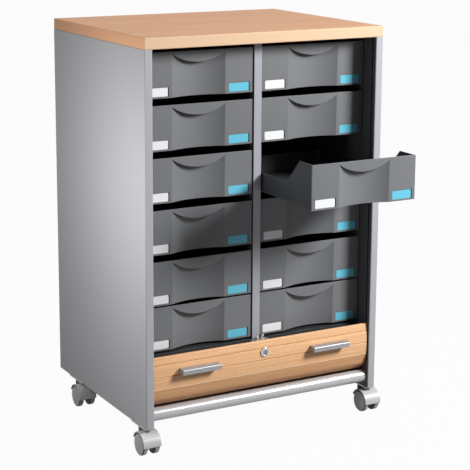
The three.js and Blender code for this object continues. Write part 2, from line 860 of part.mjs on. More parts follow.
function casterHood() {
  const halfWeb = webThickness / 2;
  const halfAxle = casterHalf - axleCover - clearance;
  const web = prism("x", sector(hoodInnerRadius + hoodWall / 2), -halfWeb, halfWeb);
  const hub = prism("x", circle(axle, hubRadius, smallSides), -halfWeb, halfWeb);
  const arm = prism("x", [
    axle,
    [bossRadius, bossBottom],
    [bossRadius, bossTop],
    [-bossRadius, bossTop],
    [axle[0], axle[1] + hoodInnerRadius],
  ], -halfWeb, halfWeb);
  const boss = prism("z", circle([0, 0], bossRadius, smallSides), bossBottom, bossTop);
  const boreRound = circle([0, 0], stemRadius + clearance, smallSides);
  const bore = prism("z", boreRound, bossBottom + stemFloor, bossTop + overrun);
  const pin = prism("x", circle(axle, axleRadius, smallSides), -halfAxle, halfAxle);
  return hoodShell().add(web).add(hub).add(arm).add(boss).add(pin).subtract(bore);
}

// A wheel with its inner face at zero and its capped face towards positive X
function wheel() {
  const bore = axleRadius + clearance;
  const profile = [
    [0, wheelWidth - axleCover],
    [bore, wheelWidth - axleCover],
    [bore, 0],
    [wheelRadius - wheelShoulder, 0],
    [wheelRadius, wheelShoulder],
    [wheelRadius, wheelWidth - wheelShoulder],
    [wheelRadius - wheelShoulder, wheelWidth],
    [(wheelRadius - wheelShoulder) / 2, wheelWidth + wheelDome * domeShare],
    [0, wheelWidth + wheelDome],
  ];
  return turned(profile, wheelSides);
}

const mountSolid = casterMount();
const hoodSolid = casterHood();
const wheelSolid = wheel();
const casterAcross = innerHalfWidth + boardThickness / 2;

for (const [end, inset] of [["front", frontEdge + frontCasterInset], ["rear", backEdge - rearCasterInset]]) {
  for (const [name, side] of [["left", -1], ["right", 1]]) {
    const caster = new THREE.Group();
    caster.position.set(side * casterAcross, inset, 0);
    caster.add(piece(`caster_plate_${end}_${name}`, mountSolid, zincSteel));
    caster.add(piece(`caster_hood_${end}_${name}`, hoodSolid, casterGrey));
    for (const [hand, turn] of [["left", Math.PI], ["right", 0]]) {
      const made = piece(`wheel_${end}_${name}_${hand}`, wheelSolid, wheelGrey);
      made.position.set(((turn ? -1 : 1) * wheelGap) / 2, axle[0], axle[1]);
      made.rotation.z = turn;
      caster.add(made);
    }
    cart.add(caster);
  }
}

// The origin lies under the middle of the cart as it stands, with its tray open
cart.position.y = -(openTrayFront + backEdge) / 2;

const part = new THREE.Group();
part.add(cart);
export default part;
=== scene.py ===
# A mobile office cart: a silver board cabinet on twin-wheel casters, with a beech top, two
# columns of moulded paper trays and a roll shutter that stands lowered at the foot of its front.
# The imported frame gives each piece's place and box; metres, X to the right, Y to the back, Z up.

import math

import bpy
from mathutils import Matrix, Vector


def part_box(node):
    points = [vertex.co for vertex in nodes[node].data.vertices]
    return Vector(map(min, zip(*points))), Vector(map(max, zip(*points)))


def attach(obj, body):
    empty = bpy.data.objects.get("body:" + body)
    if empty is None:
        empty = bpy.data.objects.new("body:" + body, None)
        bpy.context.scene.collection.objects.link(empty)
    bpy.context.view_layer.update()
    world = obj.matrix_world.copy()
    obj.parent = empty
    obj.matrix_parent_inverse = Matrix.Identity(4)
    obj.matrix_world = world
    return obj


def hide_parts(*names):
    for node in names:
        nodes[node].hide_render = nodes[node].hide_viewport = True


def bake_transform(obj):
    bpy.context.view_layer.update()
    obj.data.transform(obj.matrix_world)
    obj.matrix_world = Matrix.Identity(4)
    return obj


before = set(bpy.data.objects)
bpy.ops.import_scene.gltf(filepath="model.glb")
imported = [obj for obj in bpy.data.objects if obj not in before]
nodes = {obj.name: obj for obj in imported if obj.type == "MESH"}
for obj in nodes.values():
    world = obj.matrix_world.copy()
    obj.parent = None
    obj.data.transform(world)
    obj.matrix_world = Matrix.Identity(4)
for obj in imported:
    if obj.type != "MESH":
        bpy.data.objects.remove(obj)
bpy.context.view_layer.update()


# Side boards: 19 mm chipboard with a silver melamine face, and the front edge closed with a
# silver edge strip. Their inner faces are lined in black, where the racks and tracks are screwed.
def node(tree, kind, inputs=None, **settings):
    """Adds a node. A socket given as an input's value is linked, and any other value is set."""
    made = tree.nodes.new(kind)
    for key, value in settings.items():
        setattr(made, key, value)
    for key, value in (inputs or {}).items():
        if isinstance(value, bpy.types.NodeSocket):
            tree.links.new(value, made.inputs[key])
        else:
            made.inputs[key].default_value = value
    return made


def math_node(tree, operation, first, second=0.0, clamp=False):
    inputs = {0: first, 1: second}
    return node(tree, "ShaderNodeMath", inputs, operation=operation, use_clamp=clamp).outputs[0]


def product(tree, first, second):
    return math_node(tree, "MULTIPLY", first, second)


def stretched(tree, value, floor, gain):
    """Takes a floor off a value and multiplies the rest, kept between zero and one."""
    above_floor = math_node(tree, "SUBTRACT", value, floor)
    return math_node(tree, "MULTIPLY", above_floor, gain, clamp=True)


def shared(tree, first, first_share, second, second_share):
    """Adds up two values by their shares."""
    return math_node(tree, "ADD", product(tree, first, first_share), product(tree, second, second_share))


def mixed(tree, share, first, second):
    return node(tree, "ShaderNodeMix", {0: share, 6: first, 7: second}, data_type="RGBA").outputs[2]


def object_place(tree, scale=(1, 1, 1)):
    """The point on the object itself, so that a pattern moves along with its piece."""
    place = node(tree, "ShaderNodeTexCoord").outputs["Object"]
    return node(tree, "ShaderNodeMapping", {"Vector": place, "Scale": scale}).outputs[0]


def object_axes(tree):
    return node(tree, "ShaderNodeSeparateXYZ", {"Vector": object_place(tree)}).outputs


def noise(tree, scale, detail, stretch=(1, 1, 1), roughness=0.5, distortion=0.0):
    """A grey noise on the object, with its coordinates stretched first."""
    inputs = {"Vector": object_place(tree, stretch), "Scale": scale, "Detail": detail,
              "Roughness": roughness, "Distortion": distortion}
    return node(tree, "ShaderNodeTexNoise", inputs).outputs[0]


def new_effect(name, inputs, outputs):
    """Starts a node group that finishes share, and gives it with its inputs and its outputs."""
    tree = bpy.data.node_groups.new(name, "ShaderNodeTree")
    for label, kind, value in inputs:
        socket = tree.interface.new_socket(label, in_out="INPUT", socket_type="NodeSocket" + kind)
        socket.default_value = value
    for label, kind in outputs:
        tree.interface.new_socket(label, in_out="OUTPUT", socket_type="NodeSocket" + kind)
    given = tree.nodes.new("NodeGroupInput")
    result = tree.nodes.new("NodeGroupOutput")
    return tree, given.outputs, result.inputs


def effect(tree, group, inputs):
    return node(tree, "ShaderNodeGroup", inputs, node_tree=group).outputs


# Worn edges: where the surface turns over an edge, the finish is rubbed paler in patches
edge_wear, given, result = new_effect(
    "edge_wear",
    [("Colour", "Color", (0.5, 0.5, 0.5, 1)), ("Worn", "Color", (0.8, 0.8, 0.8, 1)),
     ("Radius", "Float", 0.001), ("Amount", "Float", 0.5)],
    [("Colour", "Color"), ("Normal", "Vector")],
)
edge_contrast = 5.0
patch_scale = 60.0
softened = node(edge_wear, "ShaderNodeBevel", {"Radius": given["Radius"]}, samples=4).outputs[0]
flat = node(edge_wear, "ShaderNodeNewGeometry").outputs["Normal"]
compared = node(edge_wear, "ShaderNodeVectorMath", {0: softened, 1: flat}, operation="DOT_PRODUCT")
turned = math_node(edge_wear, "SUBTRACT", 1.0, compared.outputs["Value"])
turned = math_node(edge_wear, "MULTIPLY", turned, edge_contrast, clamp=True)
patches = product(edge_wear, noise(edge_wear, patch_scale, 3.0), given["Amount"])
rubbed = mixed(edge_wear, product(edge_wear, turned, patches), given["Colour"], given["Worn"])
edge_wear.links.new(rubbed, result["Colour"])
edge_wear.links.new(softened, result["Normal"])

# Handling: broad smears and fine dust that change the gloss a little from place to place
handling, given, result = new_effect(
    "handling", [("Roughness", "Float", 0.5), ("Spread", "Float", 0.1)], [("Roughness", "Float")])
smear_scale = 9.0
dust_scale = 420.0
smears = noise(handling, smear_scale, 5.0, roughness=0.6, distortion=0.4)
marks = shared(handling, smears, 0.75, noise(handling, dust_scale, 2.0), 0.25)
change = product(handling, math_node(handling, "SUBTRACT", marks, 0.5), given["Spread"])
handling.links.new(math_node(handling, "ADD", given["Roughness"], change, clamp=True), result["Roughness"])

# Moulded grain: the fine pebbled skin that a spark-eroded mould gives plastic and foil
mould_grain, given, result = new_effect("mould_grain", [("Scale", "Float", 900.0)], [("Height", "Float")])
pebble_inputs = {"Vector": object_place(mould_grain), "Scale": given["Scale"]}
pebbles = node(mould_grain, "ShaderNodeTexVoronoi", pebble_inputs).outputs[0]
skin = shared(mould_grain, pebbles, 0.6, noise(mould_grain, given["Scale"], 2.0), 0.4)
mould_grain.links.new(skin, result["Height"])


def new_finish(name):
    finish = bpy.data.materials.new(name)
    finish.use_nodes = True
    tree = finish.node_tree
    return finish, tree, tree.nodes["Principled BSDF"].inputs


def surface(tree, shader, colour, worn, height, *, wear, radius, roughness, spread, relief, distance,
            metallic=0.0, specular=0.5, coat=0.0):
    """Sets a finish: its colour with worn edges, its gloss with smears and its fine relief."""
    worn_out = effect(tree, edge_wear, {"Colour": colour, "Worn": worn, "Amount": wear, "Radius": radius})
    gloss = effect(tree, handling, {"Roughness": roughness, "Spread": spread})
    bump = node(tree, "ShaderNodeBump", {
        "Height": height, "Normal": worn_out["Normal"], "Strength": relief, "Distance": distance})
    tree.links.new(worn_out["Colour"], shader["Base Color"])
    tree.links.new(gloss["Roughness"], shader["Roughness"])
    tree.links.new(bump.outputs[0], shader["Normal"])
    shader["Metallic"].default_value = metallic
    shader["Specular IOR Level"].default_value = specular
    shader["Coat Weight"].default_value = coat


def grained(tree, shader, colour, worn, *, grain, **values):
    """Sets a finish with the pebbled skin of plastic, foil, lacquer or plated metal."""
    height = effect(tree, mould_grain, {"Scale": grain})["Height"]
    surface(tree, shader, colour, worn, height, **values)


def plain_finish(name, colour, worn, **values):
    """A grained finish of one colour."""
    finish, tree, shader = new_finish(name)
    grained(tree, shader, colour, worn, **values)
    return finish


silver = (0.50, 0.505, 0.525, 1)
silver_flake = (0.72, 0.72, 0.74, 1)
silver_worn = (0.75, 0.75, 0.78, 1)
edge_silver = (0.42, 0.425, 0.455, 1)
liner_black = (0.075, 0.077, 0.084, 1)
flake_scale = 1500.0
flake_share = 0.12
strip_wall = 0.0006
lining_start = 0.0012
lining_room = 0.0004
board_skin = {"spread": 0.12, "grain": 1400.0, "relief": 0.12, "distance": 0.0002}
silver_gloss = {"metallic": 0.06, "specular": 0.35}
side_low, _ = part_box("side_panel_right")
board_finish, tree, shader = new_finish("silver_board")
place = object_axes(tree)
apart = math_node(tree, "ABSOLUTE", place["X"])
between_boards = math_node(tree, "LESS_THAN", apart, side_low.x + lining_room)
behind_strip = math_node(tree, "GREATER_THAN", place["Y"], side_low.y + lining_start)
flakes = node(tree, "ShaderNodeTexVoronoi", {"Vector": object_place(tree), "Scale": flake_scale})
tone = mixed(tree, product(tree, flakes.outputs["Color"], flake_share), silver, silver_flake)
at_edge = math_node(tree, "LESS_THAN", place["Y"], side_low.y + strip_wall)
tone = mixed(tree, at_edge, tone, edge_silver)
tone = mixed(tree, product(tree, between_boards, behind_strip), tone, liner_black)
grained(tree, shader, tone, silver_worn, wear=0.5, radius=0.0012, roughness=0.42,
        **board_skin, **silver_gloss)


def finish_node(name, finish):
    part = nodes[name]
    part.data.materials.clear()
    part.data.materials.append(finish)


for name in ("side_panel_left", "side_panel_right"):
    finish_node(name, board_finish)

# Divider, shelf, bottom and back: the same chipboard. The divider shows a silver front edge and
# has black faces, the shelf is painted black all over as shade for the dark gap under the lowest
# trays, and the bottom and the back are plain silver.
divider_silver = (0.39, 0.395, 0.44, 1)
divider_worn = (0.7, 0.7, 0.73, 1)
divider_strip = 0.0005
divider_low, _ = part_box("divider")
case_finish, tree, shader = new_finish("case_board")
behind = math_node(tree, "GREATER_THAN", object_axes(tree)["Y"], divider_low.y + divider_strip)
tone = mixed(tree, behind, divider_silver, liner_black)
grained(tree, shader, tone, divider_worn, wear=0.4, radius=0.001, roughness=0.42,
        **board_skin, **silver_gloss)
finish_node("divider", case_finish)

# Painted shade: the shelf's black stands in for the shade in the gap between the lowest trays and the
# shutter
shelf_shade_black = (0.03, 0.03, 0.034, 1)
shelf_shade_worn = (0.08, 0.08, 0.09, 1)
shelf_shade_finish = plain_finish(
    "black_board_painted_shade", shelf_shade_black, shelf_shade_worn, wear=0.4, radius=0.001, roughness=0.5, **board_skin)
finish_node("tray_shelf", shelf_shade_finish)

back_finish = plain_finish(
    "back_board", silver, silver_worn, wear=0.5, radius=0.001, roughness=0.45, **board_skin, **silver_gloss)
for name in ("back_panel", "bottom_panel"):
    finish_node(name, back_finish)

# Top: a 25 mm beech board with its grain along the front, and pale edge strips all round with
# softly rounded corners. It is pressed from chipboard and foil, and pinned on from inside.
beech_grain, given, result = new_effect(
    "beech_grain",
    [("Light", "Color", (0.8, 0.6, 0.4, 1)), ("Dark", "Color", (0.6, 0.4, 0.25, 1)),
     ("Fleck", "Float", 0.5), ("Fibres", "Float", 0.5)],
    [("Colour", "Color"), ("Height", "Float")],
)
band_stretch = (1.3, 22.0, 22.0)
fibre_stretch = (4.0, 300.0, 300.0)
fleck_stretch = (95.0, 900.0, 900.0)
fleck_brown = (0.36, 0.19, 0.10, 1)
bands = noise(beech_grain, 1.0, 3.0, band_stretch, distortion=0.3)
fibres = noise(beech_grain, 1.0, 4.0, fibre_stretch, roughness=0.6)
flecks = noise(beech_grain, 1.0, 1.0, fleck_stretch)
dashes = stretched(beech_grain, flecks, floor=0.56, gain=9.0)
band_share = math_node(beech_grain, "SUBTRACT", 1.0, given["Fibres"])
grain = shared(beech_grain, bands, band_share, fibres, given["Fibres"])
grain = stretched(beech_grain, grain, floor=0.34, gain=3.0)
colour = mixed(beech_grain, grain, given["Light"], given["Dark"])
colour = mixed(beech_grain, product(beech_grain, dashes, given["Fleck"]), colour, fleck_brown)
beech_grain.links.new(colour, result["Colour"])
beech_grain.links.new(math_node(beech_grain, "SUBTRACT", grain, dashes), result["Height"])


def beech(name, light, dark, worn, fleck, fibres, radius, trims=()):
    """A beech foil. Each trim is a colour and a test that marks where it takes the foil's place."""
    finish, tree, shader = new_finish(name)
    foil = effect(tree, beech_grain, {"Light": light, "Dark": dark, "Fleck": fleck, "Fibres": fibres})
    colour = foil["Colour"]
    for trim_colour, test in trims:
        colour = mixed(tree, test(tree), colour, trim_colour)
    surface(tree, shader, colour, worn, foil["Height"], wear=0.5, radius=radius, roughness=0.46,
            spread=0.12, relief=0.2, distance=0.0002, specular=0.25)
    return finish


def facing(tree):
    """The direction that a face looks in, along each axis."""
    normal = node(tree, "ShaderNodeNewGeometry").outputs["Normal"]
    return node(tree, "ShaderNodeSeparateXYZ", {"Vector": normal}).outputs


def upright_faces(tree):
    return math_node(tree, "LESS_THAN", math_node(tree, "ABSOLUTE", facing(tree)["Z"]), upright_below)


def end_faces(tree):
    return math_node(tree, "GREATER_THAN", math_node(tree, "ABSOLUTE", facing(tree)["X"]), end_above)


def alone(*pieces):
    """Selects these pieces and no others, and makes the first one active."""
    bpy.ops.object.select_all(action="DESELECT")
    for piece in pieces:
        piece.select_set(True)
    bpy.context.view_layer.objects.active = pieces[0]


def newly_made(name):
    """Names the piece that was just added, and leaves it at the origin, unturned and unscaled."""
    piece = bpy.context.object
    piece.name = name
    bpy.ops.object.transform_apply(location=True, rotation=True, scale=True)
    return piece


def block(name, low, high):
    bpy.ops.object.select_all(action="DESELECT")
    middle = [(a + b) / 2 for a, b in zip(low, high)]
    size = [b - a for a, b in zip(low, high)]
    bpy.ops.mesh.primitive_cube_add(size=1, location=middle, scale=size)
    return newly_made(name)


def worked(piece, kind, **settings):
    """Adds a modifier to a piece and applies it at once."""
    alone(piece)
    made = piece.modifiers.new(kind.lower(), kind)
    for key, value in settings.items():
        setattr(made, key, value)
    bpy.ops.object.modifier_apply(modifier=made.name)
    return piece


def eased(piece, width, segments, angle=40):
    """Rounds every edge of a piece that is sharper than an angle in degrees."""
    return worked(piece, "BEVEL", width=width, segments=segments, limit_method="ANGLE",
                  angle_limit=math.radians(angle), harden_normals=False)


def smoothed(piece, angle=35):
    alone(piece)
    bpy.ops.object.shade_smooth_by_angle(angle=math.radians(angle))
    return worked(piece, "WEIGHTED_NORMAL", keep_sharp=True)


def fitted(piece, body, slot, finish, *stands_for):
    """Gives a finished piece its finish, the body it moves with and the nodes it stands for."""
    if finish:
        piece.data.materials.clear()
        piece.data.materials.append(finish)
    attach(piece, body)
    if stands_for:
        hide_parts(*stands_for)
    return piece


top_light = (0.69, 0.39, 0.225, 1)
top_dark = (0.57, 0.30, 0.165, 1)
top_worn = (0.9, 0.72, 0.5, 1)
strip_colour = (0.75, 0.52, 0.34, 1)
end_strip_colour = (0.90, 0.48, 0.27, 1)
upright_below = 0.75
end_above = 0.7
top_round = 0.0018
top_finish = beech(
    "beech_top", top_light, top_dark, top_worn, fleck=0.38, fibres=0.5, radius=0.0015,
    trims=[(strip_colour, upright_faces), (end_strip_colour, end_faces)])
top_low, top_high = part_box("top_panel")
top = eased(block("top_board", top_low, top_high), top_round, 4)
fitted(smoothed(top), "cabinet", "beech", top_finish, "top_panel")

# Racks, tracks, inner back and tube plugs: black plastic. The racks with their ledges and the
# shutter's tracks are screwed to the boards, and the plugs are pushed into the foot tube.
black_finish = plain_finish(
    "black_plastic", liner_black, (0.09, 0.09, 0.1, 1), wear=0.6, radius=0.0008, roughness=0.5,
    spread=0.2, grain=1100.0, relief=0.3, distance=0.0002)
for name in ("inner_back", "rack_left_outer", "rack_left_inner", "rack_right_inner", "rack_right_outer",
             "shutter_track_left", "shutter_track_right", "tube_plug_left", "tube_plug_right"):
    finish_node(name, black_finish)

# Trays: each is moulded with a mid-grey front that has a finger scoop under a smile-shaped lip,
# and two shallow card pockets with thumb slots. The box behind it is darker, with low sides.
tray_skin = {"radius": 0.0008, "spread": 0.14, "grain": 1500.0, "relief": 0.3, "distance": 0.0002}
front_finish = plain_finish(
    "tray_front", (0.178, 0.184, 0.193, 1), (0.32, 0.33, 0.34, 1), wear=0.6, roughness=0.38,
    specular=0.35, **tray_skin)
body_finish = plain_finish(
    "tray_body", (0.045, 0.046, 0.05, 1), (0.12, 0.12, 0.13, 1), wear=0.5, roughness=0.42, **tray_skin)

front_height = 0.0993
front_half = 0.13375
front_wall = 0.003
front_round = 0.0006
body_half = 0.132
body_wall = 0.0025
body_round = 0.0007
rear_round = 0.008
tray_length = 0.390
underside = 0.003
low_wall = 0.047
gusset_end = 0.055
slope_end = 0.105
bead_top = 0.009
bead_start = 0.0085
bead_end = tray_length - 0.004
bead_lap = 0.0005
bead_round = 0.0005
scoop_half = 0.0665
scoop_depth = 0.015
lip_end = front_height - 0.004
lip_sag = 0.021
lip_wall = 0.0025
roof_slope = (0, 0.3, 1)
pocket_low = 0.0035
pocket_high = 0.0235
pocket_width = 0.0504
pocket_depth = 0.0008
pocket_end = front_half - 0.008
thumb_width = 0.0024
thumb_depth = 0.002
thumb_lap = 0.0002

# How far a cutter reaches past a face, a distance that counts as none, and how much of a face's
# direction has to lie along an axis for the face to count as square to it
past = 0.002
hair = 1e-5
square_on = 0.9


def bar(name, axis, centre, radius, low, high, sides=96):
    """A round bar along an axis. Its centre is a pair in the other two directions."""
    bpy.ops.object.select_all(action="DESELECT")
    middle = list(centre)
    middle.insert("xyz".index(axis), (low + high) / 2)
    turn = {"x": (0, math.pi / 2, 0), "y": (math.pi / 2, 0, 0), "z": (0, 0, 0)}[axis]
    bpy.ops.mesh.primitive_cylinder_add(
        vertices=sides, radius=radius, depth=high - low, location=middle, rotation=turn)
    return newly_made(name)


def combined(piece, tool, operation):
    """Joins a tool to a piece or cuts it out of the piece, and uses it up."""
    worked(piece, "BOOLEAN", object=tool, operation=operation, solver="EXACT")
    bpy.data.objects.remove(tool)


def trimmed(piece, point, normal):
    """Cuts a piece with a plane, closes the cut and drops what lies on the normal's side."""
    alone(piece)
    bpy.ops.object.mode_set(mode="EDIT")
    bpy.ops.mesh.select_all(action="SELECT")
    bpy.ops.mesh.bisect(plane_co=point, plane_no=normal, use_fill=True, clear_outer=True)
    bpy.ops.object.mode_set(mode="OBJECT")
    return piece


def rounded(piece, radius, steps, chosen):
    """Rounds the edges that chosen picks by their two ends."""
    alone(piece)
    bpy.ops.object.mode_set(mode="EDIT")
    bpy.ops.mesh.select_mode(type="EDGE")
    bpy.ops.mesh.select_all(action="DESELECT")
    bpy.ops.object.mode_set(mode="OBJECT")
    for edge in piece.data.edges:
        edge.select = chosen(*[piece.data.vertices[i].co for i in edge.vertices])
    bpy.ops.object.mode_set(mode="EDIT")
    bpy.ops.mesh.bevel(offset=radius, segments=steps, affect="EDGES")
    bpy.ops.mesh.select_all(action="DESELECT")
    bpy.ops.mesh.select_mode(type="FACE")
    bpy.ops.object.mode_set(mode="OBJECT")


# The front: a bowl stands out behind the plate. It is hollowed from in front, up to the lip's roof
# and its smile-shaped edge, and then the pockets and thumb slots are sunk.
scoop_radius = (scoop_half ** 2 + scoop_depth ** 2) / (2 * scoop_depth)
scoop_centre = scoop_depth - scoop_radius
smile_radius = (scoop_half ** 2 + lip_sag ** 2) / (2 * lip_sag)
tray_front = block("tray_front", (-front_half, 0, 0), (front_half, front_wall, front_height))
bowl = bar("bowl", "z", (0, scoop_centre), scoop_radius + body_wall, 0, front_height)
trimmed(bowl, (0, front_wall / 2, 0), (0, -1, 0))
trimmed(bowl, (0, 0, front_height), roof_slope)
combined(tray_front, bowl, "UNION")
hollow = bar("hollow", "z", (0, scoop_centre), scoop_radius, -past, front_height)
trimmed(hollow, (0, -past, 0), (0, -1, 0))
trimmed(hollow, (0, 0, front_height - body_wall), roof_slope)
smile_centre = (0, lip_end - lip_sag + smile_radius)
smile = bar("smile", "y", smile_centre, smile_radius, -2 * past, lip_wall, sides=256)
combined(hollow, smile, "DIFFERENCE")
combined(tray_front, hollow, "DIFFERENCE")
pocket_starts = (-pocket_end, pocket_end - thumb_width - pocket_width)
for low in pocket_starts:
    high = low + pocket_width
    pocket = block("pocket", (low, -past, pocket_low), (high, pocket_depth, pocket_high))
    combined(tray_front, pocket, "DIFFERENCE")
    thumb = block("thumb", (high - thumb_lap, -past, pocket_low),
                  (high + thumb_width, thumb_depth, pocket_high))
    combined(tray_front, thumb, "DIFFERENCE")
eased(tray_front, front_round, 2)
tray_front.data.materials.append(front_finish)
tray_front.data.materials.append(body_finish)
# Painted shade: the floors and walls of the thumb slots take the darker box finish
for face in tray_front.data.polygons:
    place = face.center
    across = any(0 < place.x - (low + pocket_width) < thumb_width for low in pocket_starts)
    in_shaded_slot = across and pocket_low < place.z < pocket_high
    sunk = pocket_depth / 2 < place.y < thumb_depth + thumb_lap
    face.material_index = 1 if in_shaded_slot and sunk else 0


# The box: a shell without a front or a lid, whose sides are cut down behind a sloping gusset. A
# bead runs along each side's foot, where the tray slides on its ledges.
def rear_upright(one, two):
    return abs(one.z - two.z) > low_wall and one.y > tray_length / 2


gusset_top = Vector((0, gusset_end, front_height))
slope = Vector((0, front_height - low_wall, slope_end - gusset_end)).normalized()
box = block("tray_box", (-body_half, front_wall / 2, underside), (body_half, tray_length, front_height))
rounded(box, rear_round, 6, rear_upright)
for face in box.data.polygons:
    face.select = face.normal.z > square_on or face.normal.y < -square_on
bpy.ops.object.mode_set(mode="EDIT")
bpy.ops.mesh.delete(type="FACE")
for point, normal in (((0, 0, low_wall), (0, 0, 1)), (gusset_top, slope)):
    bpy.ops.mesh.select_all(action="SELECT")
    bpy.ops.mesh.bisect(plane_co=point, plane_no=normal)
bpy.ops.mesh.select_all(action="DESELECT")
bpy.ops.object.mode_set(mode="OBJECT")
for face in box.data.polygons:
    above = face.center.z > low_wall + hair
    beyond = (face.center - gusset_top).dot(slope) > hair
    face.select = above and beyond
bpy.ops.object.mode_set(mode="EDIT")
bpy.ops.mesh.delete(type="FACE")
bpy.ops.object.mode_set(mode="OBJECT")
worked(box, "SOLIDIFY", thickness=body_wall, offset=-1, use_even_offset=True)
way = bar("way", "z", (0, scoop_centre), scoop_radius + body_wall / 2, -past, front_height + past)
combined(box, way, "DIFFERENCE")
eased(box, body_round, 2)
beads = []
for side in (-1, 1):
    left, right = sorted((side * (body_half - bead_lap), side * front_half))
    bead = block("bead", (left, bead_start, underside), (right, bead_end, bead_top))
    beads.append(eased(bead, bead_round, 2))
for part in (box, *beads):
    part.data.materials.append(body_finish)
alone(tray_front, box, *beads)
bpy.ops.object.join()
smoothed(tray_front, angle=30)

# Cards: a plain white and a plain blue card with rounded corners, cut from thin board. One of
# each is pushed into the two pockets of every tray's front.
card_white = plain_finish(
    "card_white", (0.86, 0.87, 0.89, 1), (0.8, 0.8, 0.8, 1), wear=0.2, radius=0.0003, roughness=0.55,
    spread=0.1, grain=2500.0, relief=0.1, distance=0.0001)
card_blue = plain_finish(
    "card_blue", (0.13, 0.53, 0.70, 1), (0.5, 0.8, 0.9, 1), wear=0.3, radius=0.0003, roughness=0.4,
    spread=0.1, grain=2500.0, relief=0.1, distance=0.0001)
card_gap = 0.0006
card_sunk = 0.0002
card_wall = 0.0006
card_round = 0.0024


def placed_copy(piece, name, x, y, z, turn=0.0):
    """A copy with a mesh of its own, turned about the upright axis and then moved."""
    copy = piece.copy()
    copy.data = piece.data.copy()
    copy.name = name
    bpy.context.scene.collection.objects.link(copy)
    copy.data.transform(Matrix.Translation((x, y, z)) @ Matrix.Rotation(turn, 4, "Z"))
    return copy


def across_card(one, two):
    return abs(one.y - two.y) > card_wall / 2


cards = []
for colour, finish, low in zip(("white", "blue"), (card_white, card_blue), pocket_starts):
    card_low = (low + card_gap, card_sunk, pocket_low + card_gap)
    card_high = (low + pocket_width, card_sunk + card_wall, pocket_high - card_gap)
    card = block("card_" + colour, card_low, card_high)
    rounded(card, card_round, 5, across_card)
    card.data.materials.append(finish)
    cards.append((colour, smoothed(card)))

tray_names = [name for name in nodes if name.startswith("tray_") and name != "tray_shelf"]
for name in tray_names:
    low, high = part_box(name)
    place = ((low.x + high.x) / 2, low.y, low.z)
    made = placed_copy(tray_front, "moulded_" + name, *place)
    fitted(made, name, "tray_plastic", None, name)
    for colour, card in cards:
        fitted(placed_copy(card, f"card_{colour}_{name}", *place), name, "tray_plastic", None)
for part in (tray_front, *[card for colour, card in cards]):
    bpy.data.objects.remove(part)

# Roll shutter: slats of beech-foiled board on canvas, with a stiff leading board that is lifted
# by its handles. The canvas and slats bend round under the trays, and more slats follow the
# board up as it rises.
# Painted light: the lead and the slats take a paler copy of the top's beech, lit up against the lamps'
# fall-off toward the foot of the cart
lit_shutter_light = (0.93, 0.57, 0.32, 1)
lit_shutter_dark = (0.79, 0.43, 0.215, 1)
shutter_worn = (0.92, 0.68, 0.42, 1)
# Painted shade: the curtain takes a darker copy of the lead's beech, for its bend round under the trays
shaded_curtain_light = (0.83, 0.47, 0.25, 1)
shaded_curtain_dark = (0.67, 0.35, 0.17, 1)
# Painted shade and highlight: the lead's downward faces, the upper flanks of its grooves, are painted brown,
groove_shade_brown = (0.40, 0.21, 0.10, 1)
# and on the slats a brown band of shade just above each joint and a pale highlight just below it are painted
joint_highlight_pale = (0.95, 0.72, 0.47, 1)
slat_pitch = 0.0273
groove_share = 0.06
roof_below = -0.3
shutter_grain = {"fleck": 0.2, "fibres": 0.75, "radius": 0.0005}
lead_low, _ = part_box("shutter_lead")
curtain_low, curtain_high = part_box("shutter_curtain")


def shaded_groove_roofs(tree):
    return math_node(tree, "LESS_THAN", facing(tree)["Z"], roof_below)


def above_joint(tree):
    """How far a point stands above the joint below it, as a share of the pitch."""
    height = math_node(tree, "SUBTRACT", object_axes(tree)["Z"], lead_low.z)
    return math_node(tree, "FRACT", math_node(tree, "DIVIDE", height, slat_pitch))


def shaded_joint_roofs(tree):
    return math_node(tree, "LESS_THAN", above_joint(tree), groove_share)


def lit_joint_sills(tree):
    return math_node(tree, "GREATER_THAN", above_joint(tree), 1 - groove_share)


shutter_finish = beech(
    "beech_shutter", lit_shutter_light, lit_shutter_dark, shutter_worn, **shutter_grain,
    trims=[(groove_shade_brown, shaded_groove_roofs)])
slats_finish = beech(
    "beech_slats", lit_shutter_light, lit_shutter_dark, shutter_worn, **shutter_grain,
    trims=[(groove_shade_brown, shaded_joint_roofs), (joint_highlight_pale, lit_joint_sills)])
shaded_curtain_finish = beech("beech_curtain_shaded", shaded_curtain_light, shaded_curtain_dark, shutter_worn, **shutter_grain)
finish_node("shutter_lead", shutter_finish)
finish_node("shutter_curtain", shaded_curtain_finish)

# At rest the following slats are only a low strip under the leading board, on the curtain's face
strip_height = 0.0015
strip_depth = 0.009
strip_stand = 0.0002
strip_inset = 0.0075
strip_low = (curtain_low.x + strip_inset, curtain_low.y - strip_stand, lead_low.z - strip_height)
strip_high = (curtain_high.x - strip_inset, curtain_low.y + strip_depth, lead_low.z)
strip = block("following_slats", strip_low, strip_high)
strip.data.materials.append(slats_finish)
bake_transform(strip)

# Handles: a satin aluminium profile with a flat top and a front lip, gripped from below. It is
# cut to length, closed by solid ends and screwed on from behind.
handle_finish = plain_finish(
    "satin_aluminium", (0.39, 0.40, 0.415, 1), (0.7, 0.7, 0.72, 1), wear=0.4, radius=0.0006, roughness=0.42,
    spread=0.1, grain=1800.0, relief=0.1, distance=0.0001, metallic=0.5)
handle_wall = 0.0025
handle_cheek = 0.008
handle_round = 0.003
handle_ease = 0.0005


def along(line):
    """A test for the edges that lie on a line along X."""
    return lambda one, two: all((end - line).yz.length < hair for end in (one, two))


for name in ("handle_left", "handle_right"):
    low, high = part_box(name)
    handle = block("satin_" + name, low, high)
    rounded(handle, handle_round, 5, along(Vector((0, low.y, high.z))))
    grip_low = (low.x + handle_cheek, low.y + handle_wall, low.z - past)
    grip_high = (high.x - handle_cheek, high.y + past, high.z - handle_wall)
    combined(handle, block("grip", grip_low, grip_high), "DIFFERENCE")
    fitted(smoothed(eased(handle, handle_ease, 2)), "shutter", "handle_metal", handle_finish, name)

